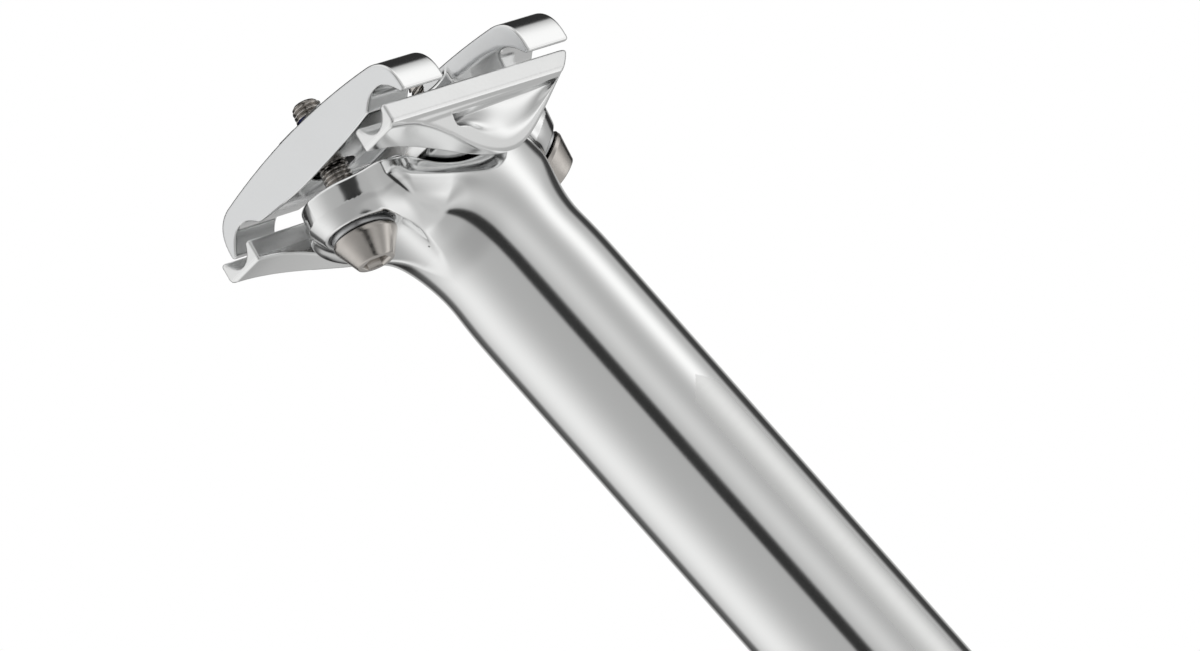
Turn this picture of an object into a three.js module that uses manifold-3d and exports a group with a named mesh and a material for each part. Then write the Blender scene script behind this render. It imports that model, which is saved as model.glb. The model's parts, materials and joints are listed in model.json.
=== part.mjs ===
// Two-bolt bicycle seatpost. A forged tube and head carry a tilting rail cradle, an upper clamp
// bridges both saddle rails, and two bolts with ball-seat washers pull the clamp down through
// half-round nuts. Turning one bolt against the other tilts the saddle.
//
// Millimetres. +Z runs up the tube, +Y points to the front of the bicycle and +X to the rider's
// right. The origin is on the tube axis, in the plane where the two clamp halves part.
// Clamp parts are drawn in the clamp's own frame, (X, F, N): F runs forward along the saddle
// rails and N is normal to the parting plane. That frame is the row frame, nose down by CLAMP_TILT.

import * as THREE from 'three';
import { mergeVertices } from 'three/addons/utils/BufferGeometryUtils.js';
import Module from 'manifold-3d';

const wasm = await Module();
wasm.setup();

// ---- driving dimensions ---------------------------------------------------------------------

const TUBE_RADIUS = 13.6;
const TUBE_WALL = 2.2;
const TUBE_BOTTOM = -350;
const BORE_TOP = -38;

const CLAMP_TILT = THREE.MathUtils.degToRad(15.3);
const TILT_AXIS_Z = 12.5;
const SEAT_RADIUS = 20.0;
const GAP = 0.3;

const RAIL_RADIUS = 3.5;
const RAIL_X = 22;
const RAIL_N = 0.8;

const CRADLE_REAR = -26.6;
const CRADLE_FRONT = 16.5;
const CORE_REAR = -12;
const CORE_FRONT = 10;
const WING_INNER_X = 16.8;
const WING_OUTER_X = 26.5;
const WING_DEPTH = 10.4;
const FINGER_DEPTH = 3.7;
const LIP_DEPTH = 3.2;
const HULL_FOOT_X = 19.7;
const POCKET_FLOOR_X = 20.5;
const POCKET_TOP_DEPTH = 4.2;
const GROOVE_LIP_HALF = 4.5;

const REAR_BAR = { rear: -22.4, front: -13.0 };
const FRONT_BAR = { rear: 5.9, front: 15.5 };
const BAR_TOP = 9.3;
const BAR_BOTTOM = 1.3;
const FRONT_ARCH_TOP = 2.4;
const WEB_INNER_X = 7.1;
const WEB_OUTER_X = 9.3;
const WEB_WAIST = 5.8;
const ARCH_HALF_WIDTH = 17.0;

const NUT_RADIUS = 3.8;
const NUT_HALF_LENGTH = 6.5;
const NUT_CROWN = 2.4;
const NUT_N = 7.8;
const REAR_NUT_F = -17.4;
const FRONT_NUT_F = 10.7;

// Degrees that each bolt swings in the clamp, from rest, over the whole tilt range.
const REAR_SWINGS = [-8, -3.5, 1, 5.5, 10];
const FRONT_SWINGS = [-10, -5.5, -1, 3.5, 8, 13];

const BOLT_RADIUS = 2.5;
const BOLT_REACH = 24.8;
const THREAD_CLEARANCE = 0.45;
const PASSAGE_CLEARANCE = 0.5;
const PASSAGE_DEPTH = 16;
const PASSAGE_TOP = 6;
const CONE_HEIGHT = 5.0;
const CONE_TOP_RADIUS = 5.5;
const CONE_TIP_RADIUS = 3.3;
const CONE_BAND = 0.8;
const SOCKET_ACROSS_FLATS = 4.0;
const SOCKET_DEPTH = 2.6;
const REAR_CONE = new THREE.Vector3(0, -22.1, -5.5);
const FRONT_CONE = new THREE.Vector3(0, 19.8, -13.35);

// Ball seat under each ear. Heights are measured up the bolt from the centre of the ball.
const BALL_RADIUS = 7.0;
const EAR_UNDERSIDE = 4.2;
const WASHER_UNDERSIDE = 3.5;
const CONE_TOP = 3.3;
const WASHER_RADIUS = 5.3;
const EAR_HEIGHT = 6.8;
const EAR_RADIUS = 7.8;
const EAR_SHELF = 4;
const EAR_FOOT_RADIUS = 6.5;
const EAR_FOOT_HEIGHT = 2.8;
const SEAT_FRONT = new THREE.Vector3(0, 9.5, -5.0);
const EAR_HOLE_RADIUS = 3.2;
const EAR_HOLE_MOUTH_RADIUS = 4.1;
const KEY_SCOOP_RADIUS = 7.2;
const HEAD_HALF_WIDTH = 14.0;
const REAR_CORNER_Y = -15.0;

const ROUND = 32;
const LONG = 200;

// ---- helpers ----------------------------------------------------------------------------------

const CLAMP_CENTRE_F = -TILT_AXIS_Z * Math.sin(CLAMP_TILT);
const CLAMP_CENTRE_N = TILT_AXIS_Z * Math.cos(CLAMP_TILT);

// (X, F, N) in the clamp frame to the row frame.
function fromClamp(x, f, n) {
  return new THREE.Vector3(x, f, n).applyAxisAngle(new THREE.Vector3(1, 0, 0), -CLAMP_TILT);
}

function solid(geometry) {
  const bare = geometry.clone();
  bare.deleteAttribute('normal');
  bare.deleteAttribute('uv');
  const merged = mergeVertices(bare, 1e-5);
  return new wasm.Manifold(new wasm.Mesh({
    numProp: 3,
    vertProperties: new Float32Array(merged.attributes.position.array),
    triVerts: new Uint32Array(merged.index.array),
  }));
}

function geometryOf(manifold) {
  const mesh = manifold.getMesh();
  const geometry = new THREE.BufferGeometry();
  geometry.setAttribute('position', new THREE.BufferAttribute(mesh.vertProperties, 3));
  geometry.setIndex(new THREE.BufferAttribute(mesh.triVerts, 1));
  geometry.computeVertexNormals();
  return geometry;
}

// A side profile drawn as (Y or F, Z or N), extruded across from x = low to x = high.
function acrossX(shape, low, high) {
  const geometry = new THREE.ExtrudeGeometry(shape, { depth: high - low, bevelEnabled: false });
  geometry.applyMatrix4(new THREE.Matrix4().makeBasis(
    new THREE.Vector3(0, 1, 0), new THREE.Vector3(0, 0, 1), new THREE.Vector3(1, 0, 0)));
  geometry.translate(low, 0, 0);
  return solid(geometry);
}

// A cross-section drawn as (X, N), extruded along the rails from f = rear to f = front.
function alongF(shape, rear, front) {
  const geometry = new THREE.ExtrudeGeometry(shape, { depth: front - rear, bevelEnabled: false });
  geometry.applyMatrix4(new THREE.Matrix4().makeBasis(
    new THREE.Vector3(1, 0, 0), new THREE.Vector3(0, 0, 1), new THREE.Vector3(0, -1, 0)));
  geometry.translate(0, front, 0);
  return solid(geometry);
}

function cylinderAlongX(radius, halfLength, y, z, sides = ROUND) {
  const geometry = new THREE.CylinderGeometry(radius, radius, 2 * halfLength, sides);
  geometry.rotateZ(Math.PI / 2);
  geometry.translate(0, y, z);
  return solid(geometry);
}

function box(x0, x1, y0, y1, z0, z1) {
  const geometry = new THREE.BoxGeometry(x1 - x0, y1 - y0, z1 - z0);
  geometry.translate((x0 + x1) / 2, (y0 + y1) / 2, (z0 + z1) / 2);
  return solid(geometry);
}

// A round piece whose local Z runs up the bolt, set down at a point of the row or clamp frame.
function upBolt(geometry, origin, direction) {
  geometry.applyQuaternion(new THREE.Quaternion().setFromUnitVectors(
    new THREE.Vector3(0, 0, 1), direction));
  geometry.translate(origin.x, origin.y, origin.z);
  return solid(geometry);
}

function uprightCone(topRadius, bottomRadius, bottom, top, sides = ROUND) {
  const geometry = new THREE.CylinderGeometry(topRadius, bottomRadius, top - bottom, sides);
  geometry.rotateX(Math.PI / 2);
  geometry.translate(0, 0, (bottom + top) / 2);
  return geometry;
}

function lathe(points, sides = ROUND) {
  const geometry = new THREE.LatheGeometry(points, sides);
  geometry.rotateX(Math.PI / 2);
  return geometry;
}

function sphere(radius) {
  return new THREE.SphereGeometry(radius, ROUND, ROUND / 2);
}

function joinAll(pieces) {
  return pieces.reduce((whole, piece) => whole.add(piece));
}

// Each bolt line runs from the ball centre in an ear to the nut centre in the clamp.
function boltLine(cone, nutF) {
  const nut = fromClamp(0, nutF, NUT_N);
  const up = nut.clone().sub(cone).normalize();
  const ball = cone.clone().addScaledVector(up, -CONE_TOP);
  return { cone, nut, up, ball };
}

const REAR = boltLine(REAR_CONE, REAR_NUT_F);
const FRONT = boltLine(FRONT_CONE, FRONT_NUT_F);

// ---- post -------------------------------------------------------------------------------------

// Side view of the neck and both ear arms. Each arm's top is square to its bolt.
function headProfile() {
  const rearFoot = REAR.ball.clone().addScaledVector(REAR.up, EAR_UNDERSIDE);
  const rearCrown = rearFoot.clone().addScaledVector(REAR.up, EAR_HEIGHT);
  const frontFoot = FRONT.ball.clone().addScaledVector(FRONT.up, EAR_UNDERSIDE);
  const frontCrown = frontFoot.clone().addScaledVector(FRONT.up, EAR_HEIGHT);
  const shape = new THREE.Shape();
  shape.moveTo(-0.5 * TUBE_RADIUS, -34);
  shape.bezierCurveTo(-TUBE_RADIUS, -20, -TUBE_RADIUS, -10, rearFoot.y, rearFoot.z);
  shape.lineTo(rearCrown.y, rearCrown.z);
  shape.lineTo(rearCrown.y + EAR_SHELF, rearCrown.z - EAR_SHELF * REAR.up.y / REAR.up.z);
  shape.lineTo(SEAT_FRONT.y, SEAT_FRONT.z);
  shape.lineTo(frontCrown.y - EAR_SHELF, frontCrown.z + EAR_SHELF * FRONT.up.y / FRONT.up.z);
  shape.lineTo(frontCrown.y, frontCrown.z);
  shape.lineTo(frontFoot.y, frontFoot.z);
  shape.bezierCurveTo(TUBE_RADIUS, -18, TUBE_RADIUS, -26, 0.5 * TUBE_RADIUS, -38);
  shape.closePath();
  return shape;
}

// Top view of the head: a wide block under the cradle, necked in to the rounded ears.
function headPlan() {
  const half = HEAD_HALF_WIDTH;
  const shape = new THREE.Shape();
  shape.moveTo(EAR_RADIUS - 0.2, FRONT.ball.y);
  shape.lineTo(0.2 - EAR_RADIUS, FRONT.ball.y);
  shape.bezierCurveTo(-EAR_RADIUS, 14, -half, 12, -half, 3);
  shape.lineTo(-half, REAR_CORNER_Y);
  shape.lineTo(0.2 - EAR_RADIUS, REAR.ball.y);
  shape.lineTo(EAR_RADIUS - 0.2, REAR.ball.y);
  shape.lineTo(half, REAR_CORNER_Y);
  shape.lineTo(half, 3);
  shape.bezierCurveTo(half, 12, EAR_RADIUS, 14, EAR_RADIUS - 0.2, FRONT.ball.y);
  return shape;
}

function planPrism(shape, bottom, top) {
  const geometry = new THREE.ExtrudeGeometry(shape, { depth: top - bottom, bevelEnabled: false });
  geometry.translate(0, 0, bottom);
  return solid(geometry);
}

function earBoss(line) {
  const shoulder = EAR_UNDERSIDE + EAR_FOOT_HEIGHT;
  const top = EAR_UNDERSIDE + EAR_HEIGHT;
  return upBolt(uprightCone(EAR_RADIUS, EAR_FOOT_RADIUS, EAR_UNDERSIDE, shoulder), line.ball, line.up)
    .add(upBolt(uprightCone(EAR_RADIUS, EAR_RADIUS, shoulder, top), line.ball, line.up));
}

// What a bolt, its washer and the hex key need cut out of the head.
function earCuts(line) {
  const top = EAR_UNDERSIDE + EAR_HEIGHT;
  const hole = upBolt(uprightCone(EAR_HOLE_MOUTH_RADIUS, EAR_HOLE_RADIUS, EAR_UNDERSIDE, top),
    line.ball, line.up);
  const aboveEar = upBolt(uprightCone(EAR_RADIUS, EAR_HOLE_MOUTH_RADIUS, top, top + EAR_HEIGHT),
    line.ball, line.up);
  const seat = upBolt(sphere(BALL_RADIUS + GAP), line.ball, line.up);
  const scoop = upBolt(uprightCone(KEY_SCOOP_RADIUS, KEY_SCOOP_RADIUS, -LONG / 8, EAR_UNDERSIDE),
    line.ball, line.up);
  return joinAll([hole, aboveEar, seat, scoop]);
}

function post() {
  const tube = solid(uprightCone(TUBE_RADIUS, TUBE_RADIUS, TUBE_BOTTOM, -12, 2 * ROUND));
  const arms = acrossX(headProfile(), -LONG / 8, LONG / 8)
    .intersect(planPrism(headPlan(), -LONG / 4, LONG / 8));
  const boreRadius = TUBE_RADIUS - TUBE_WALL;
  const bore = solid(uprightCone(boreRadius, boreRadius, TUBE_BOTTOM - 1, BORE_TOP));
  const dome = sphere(boreRadius);
  dome.rotateX(Math.PI / 2);
  dome.scale(1, 1, 0.6);
  dome.translate(0, 0, BORE_TOP);
  const seat = cylinderAlongX(SEAT_RADIUS + GAP, LONG / 8, 0, TILT_AXIS_Z, 3 * ROUND);
  return joinAll([tube, arms, earBoss(REAR), earBoss(FRONT)])
    .subtract(joinAll([bore, solid(dome)]))
    .subtract(seat)
    .subtract(earCuts(REAR))
    .subtract(earCuts(FRONT));
}

// ---- lower cradle -----------------------------------------------------------------------------

// Side view of a wing: a thin rear finger under the rail, then a deep round-bellied leaf.
function wingOutline() {
  const shape = new THREE.Shape();
  shape.moveTo(CRADLE_REAR, 0);
  shape.lineTo(CRADLE_REAR, -FINGER_DEPTH);
  shape.bezierCurveTo(-18.0, -4.4, -13.0, -7.6, -8.0, -WING_DEPTH + 1.8);
  shape.bezierCurveTo(-4.0, -WING_DEPTH, 4.0, -WING_DEPTH - 0.4, 7.0, -9.2);
  shape.lineTo(CRADLE_FRONT - 1.2, -1.4);
  shape.quadraticCurveTo(CRADLE_FRONT, -0.4, CRADLE_FRONT, 0);
  shape.closePath();
  return shape;
}

// Cross-section of a wing: an upright band beside the rail, then a face that slants in below it.
function hullOutline(side) {
  const shape = new THREE.Shape();
  shape.moveTo(side * WING_INNER_X, 1);
  shape.lineTo(side * WING_INNER_X, -WING_DEPTH - 0.1);
  shape.lineTo(side * HULL_FOOT_X, -9.4);
  shape.lineTo(side * (WING_OUTER_X - 1.2), -LIP_DEPTH - 0.8);
  shape.lineTo(side * WING_OUTER_X, -LIP_DEPTH);
  shape.lineTo(side * WING_OUTER_X, 1);
  shape.closePath();
  return shape;
}

// Side view of the teardrop pocket in a wing's outer face.
function pocketOutline() {
  const shape = new THREE.Shape();
  shape.moveTo(10.6, -POCKET_TOP_DEPTH);
  shape.lineTo(-11.0, -POCKET_TOP_DEPTH);
  shape.quadraticCurveTo(-12.8, -5.0, -9.6, -6.4);
  shape.bezierCurveTo(-3.5, -9.4, 3.0, -10.2, 10.6, -POCKET_TOP_DEPTH);
  return shape;
}

// Middle of the cradle: flat on top, round below where it rocks in the head's seat.
function coreOutline() {
  const shape = new THREE.Shape();
  const drop = (f) => -Math.acos((f - CLAMP_CENTRE_F) / SEAT_RADIUS);
  shape.moveTo(CORE_FRONT, 0);
  shape.lineTo(CORE_REAR, 0);
  shape.absarc(CLAMP_CENTRE_F, CLAMP_CENTRE_N, SEAT_RADIUS, drop(CORE_REAR), drop(CORE_FRONT), false);
  shape.closePath();
  return shape;
}

// Cross-section of a rail groove: round floor, lips opening outwards.
function grooveOutline(side) {
  const lipAngle = THREE.MathUtils.degToRad(20);
  const shape = new THREE.Shape();
  shape.moveTo(side * RAIL_X - GROOVE_LIP_HALF, 1);
  shape.lineTo(side * RAIL_X - GROOVE_LIP_HALF, 0);
  shape.absarc(side * RAIL_X, RAIL_N, RAIL_RADIUS, Math.PI + lipAngle, 2 * Math.PI - lipAngle, false);
  shape.lineTo(side * RAIL_X + GROOVE_LIP_HALF, 0);
  shape.lineTo(side * RAIL_X + GROOVE_LIP_HALF, 1);
  shape.closePath();
  return shape;
}

function lowerCradle() {
  let cradle = acrossX(coreOutline(), -WING_INNER_X - 1, WING_INNER_X + 1);
  for (const side of [-1, 1]) {
    const inner = side * WING_INNER_X;
    const outer = side * WING_OUTER_X;
    const pocketFloor = side * POCKET_FLOOR_X;
    const wing = acrossX(wingOutline(), Math.min(inner, outer), Math.max(inner, outer))
      .intersect(alongF(hullOutline(side), CRADLE_REAR - 1, CRADLE_FRONT + 1));
    cradle = cradle
      .add(wing)
      .subtract(acrossX(pocketOutline(), Math.min(pocketFloor, outer), Math.max(pocketFloor, outer)))
      .subtract(alongF(grooveOutline(side), CRADLE_REAR - 1, CRADLE_FRONT + 1));
  }
  return cradle;
}

// ---- upper clamp ------------------------------------------------------------------------------

// Cross-section of a bar: a shallow bridge that hooks over both rails.
function barOutline() {
  const inner = THREE.MathUtils.degToRad(152);
  const outer = THREE.MathUtils.degToRad(25);
  const shape = new THREE.Shape();
  shape.moveTo(0, BAR_BOTTOM);
  shape.lineTo(16.2, 2.2);
  shape.absarc(RAIL_X, RAIL_N, RAIL_RADIUS, inner, outer, true);
  shape.lineTo(27.4, 1.0);
  shape.bezierCurveTo(28.2, 3.0, 26.8, 6.4, 22.0, 7.7);
  shape.quadraticCurveTo(16.0, BAR_TOP, 8.0, BAR_TOP);
  shape.lineTo(-8.0, BAR_TOP);
  shape.quadraticCurveTo(-16.0, BAR_TOP, -22.0, 7.7);
  shape.bezierCurveTo(-26.8, 6.4, -28.2, 3.0, -27.4, 1.0);
  shape.absarc(-RAIL_X, RAIL_N, RAIL_RADIUS, Math.PI - outer, Math.PI - inner, true);
  shape.lineTo(-16.2, 2.2);
  shape.closePath();
  return shape;
}

// Side view of the web that ties the bars together on each side of the nuts.
function webOutline() {
  const middle = (REAR_BAR.front + FRONT_BAR.rear) / 2;
  const top = BAR_TOP - 0.9;
  const bottom = FRONT_ARCH_TOP;
  const overlap = 1;
  const shape = new THREE.Shape();
  shape.moveTo(REAR_BAR.front - overlap, bottom);
  shape.lineTo(FRONT_BAR.rear + overlap, bottom);
  shape.lineTo(FRONT_BAR.rear + overlap, top);
  shape.quadraticCurveTo(middle, 2 * WEB_WAIST - top, REAR_BAR.front - overlap, top);
  shape.closePath();
  return shape;
}

// Trough that holds a half-round nut, open at the top.
function nutTrough(nutF) {
  const radius = NUT_RADIUS + GAP;
  const halfLength = NUT_HALF_LENGTH + GAP;
  return cylinderAlongX(radius, halfLength, nutF, NUT_N)
    .add(box(-halfLength, halfLength, nutF - radius, nutF + radius, NUT_N, BAR_TOP + 5));
}

// Passage for a leaning bolt: a fan of holes about the nut, as wide as the bolt's swing.
function boltPassage(line, nutF, swings) {
  const nut = new THREE.Vector3(0, nutF, NUT_N);
  const across = new THREE.Vector3(1, 0, 0);
  const up = line.up.clone().applyAxisAngle(across, CLAMP_TILT);
  const radius = BOLT_RADIUS + PASSAGE_CLEARANCE;
  const hole = () => uprightCone(radius, radius, -PASSAGE_DEPTH, PASSAGE_TOP);
  return joinAll(swings.map((degrees) => upBolt(hole(), nut,
    up.clone().applyAxisAngle(across, THREE.MathUtils.degToRad(degrees)))));
}

// The front bar is arched underneath, so it stands clear of the cradle's land.
function frontArch() {
  return box(-ARCH_HALF_WIDTH, ARCH_HALF_WIDTH, FRONT_BAR.rear - 1, CORE_FRONT + 0.5, 0, FRONT_ARCH_TOP);
}

function upperClamp() {
  const clamp = joinAll([
    alongF(barOutline(), REAR_BAR.rear, REAR_BAR.front),
    alongF(barOutline(), FRONT_BAR.rear, FRONT_BAR.front),
    acrossX(webOutline(), WEB_INNER_X, WEB_OUTER_X),
    acrossX(webOutline(), -WEB_OUTER_X, -WEB_INNER_X),
  ]);
  return clamp
    .subtract(frontArch())
    .subtract(nutTrough(REAR_NUT_F))
    .subtract(boltPassage(REAR, REAR_NUT_F, REAR_SWINGS))
    .subtract(nutTrough(FRONT_NUT_F))
    .subtract(boltPassage(FRONT, FRONT_NUT_F, FRONT_SWINGS));
}

// ---- bolts, washers and nuts ------------------------------------------------------------------

// Drawn with the ball centre at the origin and the bolt running up Z.
function bolt() {
  const coneTop = CONE_TOP;
  const coneTip = CONE_TOP - CONE_HEIGHT;
  const body = solid(lathe([
    new THREE.Vector2(0, coneTip),
    new THREE.Vector2(CONE_TIP_RADIUS, coneTip),
    new THREE.Vector2(CONE_TOP_RADIUS, coneTop - CONE_BAND),
    new THREE.Vector2(CONE_TOP_RADIUS, coneTop),
    new THREE.Vector2(BOLT_RADIUS, coneTop),
    new THREE.Vector2(BOLT_RADIUS, coneTop + BOLT_REACH - 0.6),
    new THREE.Vector2(BOLT_RADIUS - 0.6, coneTop + BOLT_REACH),
    new THREE.Vector2(0, coneTop + BOLT_REACH),
  ]));
  const acrossCorners = SOCKET_ACROSS_FLATS / Math.sqrt(3);
  const socket = solid(uprightCone(acrossCorners, acrossCorners, coneTip - 1, coneTip + SOCKET_DEPTH, 6));
  return body.subtract(socket);
}

function washer() {
  const innerRadius = BOLT_RADIUS + GAP;
  const outer = Math.asin(WASHER_RADIUS / BALL_RADIUS);
  const inner = Math.asin(innerRadius / BALL_RADIUS);
  const steps = 10;
  const points = [
    new THREE.Vector2(innerRadius, WASHER_UNDERSIDE),
    new THREE.Vector2(WASHER_RADIUS, WASHER_UNDERSIDE),
  ];
  for (let i = 0; i <= steps; i += 1) {
    const angle = outer + (inner - outer) * i / steps;
    points.push(new THREE.Vector2(BALL_RADIUS * Math.sin(angle), BALL_RADIUS * Math.cos(angle)));
  }
  points.push(points[0].clone());
  return solid(lathe(points));
}

// Drawn with the nut axis on X and its threaded hole on Z.
function barrelNut() {
  const barrel = cylinderAlongX(NUT_RADIUS, NUT_HALF_LENGTH, 0, 0);
  const crown = box(-LONG, LONG, -LONG, LONG, NUT_CROWN, LONG);
  const holeRadius = BOLT_RADIUS + THREAD_CLEARANCE;
  return barrel.subtract(crown).subtract(solid(uprightCone(holeRadius, holeRadius, -LONG, LONG)));
}

// ---- materials --------------------------------------------------------------------------------

function polishedAluminium() {
  return new THREE.MeshStandardMaterial({ color: 0xd5d7d8, metalness: 1.0, roughness: 0.16 });
}

function satinAluminium() {
  return new THREE.MeshStandardMaterial({ color: 0xcfd2d4, metalness: 1.0, roughness: 0.28 });
}

function polishedSteel() {
  return new THREE.MeshStandardMaterial({ color: 0xa79e96, metalness: 1.0, roughness: 0.22 });
}

function platedSteel() {
  return new THREE.MeshStandardMaterial({ color: 0xb9bbbd, metalness: 1.0, roughness: 0.32 });
}

// ---- assembly ---------------------------------------------------------------------------------

function named(name, manifold, material) {
  const mesh = new THREE.Mesh(geometryOf(manifold), material);
  mesh.name = name;
  return mesh;
}

function placeUpBolt(mesh, origin, line) {
  mesh.position.copy(origin);
  mesh.quaternion.setFromUnitVectors(new THREE.Vector3(0, 0, 1), line.up);
  return mesh;
}

const clamp = new THREE.Group();
clamp.rotation.x = -CLAMP_TILT;
clamp.add(
  named('lower_cradle', lowerCradle(), polishedAluminium()),
  named('upper_clamp', upperClamp(), satinAluminium()),
);

const group = new THREE.Group();
group.add(named('post', post(), polishedAluminium()), clamp);
for (const [end, line] of [['rear', REAR], ['front', FRONT]]) {
  group.add(
    placeUpBolt(named(`${end}_bolt`, bolt(), polishedSteel()), line.ball, line),
    placeUpBolt(named(`${end}_ball_washer`, washer(), platedSteel()), line.ball, line),
    placeUpBolt(named(`${end}_barrel_nut`, barrelNut(), platedSteel()), line.nut, line),
  );
}

export default group;
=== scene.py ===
"""The finished look of the two-bolt seatpost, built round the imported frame.

Lengths inside the shape functions are millimetres in the row frame (x, y, z), or in the clamp's own
frame (x, f, n), where f runs forward along the saddle rails and n is normal to the parting plane.
Each forged piece is a smooth solid, written as one function that is negative inside the metal.
"""
import json
import math

import bpy
import numpy as np
from mathutils import Matrix, Vector


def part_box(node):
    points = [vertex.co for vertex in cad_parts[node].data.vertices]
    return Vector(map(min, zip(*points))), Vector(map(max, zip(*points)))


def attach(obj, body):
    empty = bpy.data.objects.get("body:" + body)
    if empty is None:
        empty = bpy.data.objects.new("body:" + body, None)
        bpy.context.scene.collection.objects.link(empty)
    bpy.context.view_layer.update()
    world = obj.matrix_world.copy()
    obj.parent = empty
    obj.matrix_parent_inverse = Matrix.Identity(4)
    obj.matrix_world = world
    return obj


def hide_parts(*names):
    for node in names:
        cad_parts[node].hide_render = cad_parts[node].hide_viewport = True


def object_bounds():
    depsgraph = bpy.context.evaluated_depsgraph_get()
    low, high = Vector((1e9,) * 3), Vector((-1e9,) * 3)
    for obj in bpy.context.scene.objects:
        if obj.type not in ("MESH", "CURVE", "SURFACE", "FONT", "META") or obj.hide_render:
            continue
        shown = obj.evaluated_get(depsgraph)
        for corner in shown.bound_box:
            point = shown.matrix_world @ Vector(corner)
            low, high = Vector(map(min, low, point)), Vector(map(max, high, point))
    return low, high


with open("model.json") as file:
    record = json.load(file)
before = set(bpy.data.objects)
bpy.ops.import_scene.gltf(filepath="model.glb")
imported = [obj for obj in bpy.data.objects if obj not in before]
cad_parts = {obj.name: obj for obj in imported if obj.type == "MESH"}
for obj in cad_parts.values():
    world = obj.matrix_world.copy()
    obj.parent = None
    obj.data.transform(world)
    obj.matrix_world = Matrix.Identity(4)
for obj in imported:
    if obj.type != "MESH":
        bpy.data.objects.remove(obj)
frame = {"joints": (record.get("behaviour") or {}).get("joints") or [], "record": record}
cad_low, cad_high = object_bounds()

MM = 0.001

# ---- places taken from the frame --------------------------------------------------------------

JOINTS = {joint["name"]: joint for joint in frame["joints"]}
MOUNTS = {mount["name"]: mount for mount in frame["record"]["mounts"]}
TUBE_BOTTOM = cad_low.z / MM
TILT_AXIS_Z = JOINTS["clamp_tilt"]["pos_m"][2] / MM
CLAMP_TILT = math.asin(MOUNTS["rail_land"]["axis"][1])
WING_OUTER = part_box("lower_cradle")[1].x / MM


class BoltLine:
    """One bolt: the ball it swings about, its way up and the nut it screws into."""

    def __init__(self, end):
        self.ball = Vector(JOINTS[end + "_washer_swing"]["pos_m"]) / MM
        self.up = Vector(JOINTS[end + "_bolt_turn"]["axis"])
        self.nut = Vector(JOINTS[end + "_nut_swivel"]["pos_m"]) / MM

    def height(self, y, z):
        return (y - self.ball.y) * self.up.y + (z - self.ball.z) * self.up.z

    def across(self, y, z):
        return (y - self.ball.y) * self.up.z - (z - self.ball.z) * self.up.y


REAR = BoltLine("rear")
FRONT = BoltLine("front")

# ---- driving dimensions, in millimetres -------------------------------------------------------

TUBE_RADIUS = 13.6
TUBE_TOP = -8.0
BORE_RADIUS = 11.4
BORE_TOP = -38.0
BORE_DOME_HEIGHT = 0.6
SEAT_RADIUS = 20.0
SEAT_GAP = 0.3
EAR_FOOT = 4.2
EAR_TOP = 11.0
EAR_RADIUS = 7.9
EAR_TAPER = 0.55
EAR_HOLE_RADIUS = 3.6
EAR_HOLE_MOUTH_RADIUS = 4.1
KEY_WAY_RADIUS = 7.3
WASHER_BALL_RADIUS = 7.0
HEAD_HALF_WIDTH = 14.0
HEAD_FOOT = -34.0
RAIL_X = 22.0
RAIL_N = 0.8
RAIL_RADIUS = 3.5
NUT_RADIUS = 3.8
NUT_HALF_LENGTH = 6.5
NUT_CROWN = 2.4
BOLT_RADIUS = 2.5
NUT_HOLE_GAP = 0.45
THREAD_PITCH = 0.8
THREAD_DEPTH = 0.46


# ---- smooth solids ----------------------------------------------------------------------------

def fillet_max(a, b, radius):
    """Both at once (an outside edge), rounded to about the radius."""
    k = 1.17 * radius
    blend = np.maximum(k - np.abs(a - b), 0.0) / k
    return np.maximum(a, b) + blend * blend * k / 4


def fillet_min(a, b, radius):
    """Either one (an inside corner), filled to about the radius."""
    return -fillet_max(-a, -b, radius)


def chamfer_max(a, b, width, soften=0.25):
    """Both at once, with the edge cut flat."""
    return fillet_max(fillet_max(a, b, soften), (a + b + width) / math.sqrt(2), soften)


def ease(low, high, value):
    t = np.clip((value - low) / (high - low), 0.0, 1.0)
    return t * t * (3 - 2 * t)


def spline(*points):
    """A smooth curve v(u) through a few (u, v) points, straight beyond its ends."""
    u, v = np.array(points, float).T
    step = np.diff(u)
    count = len(u)
    system = np.eye(count)
    target = np.zeros(count)
    for i in range(1, count - 1):
        system[i, i - 1:i + 2] = step[i - 1], 2 * (step[i - 1] + step[i]), step[i]
        target[i] = 6 * ((v[i + 1] - v[i]) / step[i] - (v[i] - v[i - 1]) / step[i - 1])
    bend = np.linalg.solve(system, target)
    slope = np.diff(v) / step - step * (2 * bend[:-1] + bend[1:]) / 6

    def at(q):
        q = np.asarray(q)
        i = np.clip(np.searchsorted(u, q) - 1, 0, count - 2)
        w = np.clip(q, u[0], u[-1]) - u[i]
        inner = v[i] + w * (slope[i] + w * (bend[i] / 2 + w * (bend[i + 1] - bend[i]) / (6 * step[i])))
        end_slope = np.diff(v[-2:])[0] / step[-1] + step[-1] * (bend[-2] + 2 * bend[-1]) / 6
        return inner + slope[0] * np.minimum(q - u[0], 0) + end_slope * np.maximum(q - u[-1], 0)

    return at


def beyond(curve, u, v):
    """How far v is past the curve v(u), measured roughly square to the curve."""
    tilt = (curve(u + 0.05) - curve(u - 0.05)) / 0.1
    return (v - curve(u)) / np.sqrt(1 + tilt * tilt)


# ---- from a smooth solid to a mesh ------------------------------------------------------------

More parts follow.
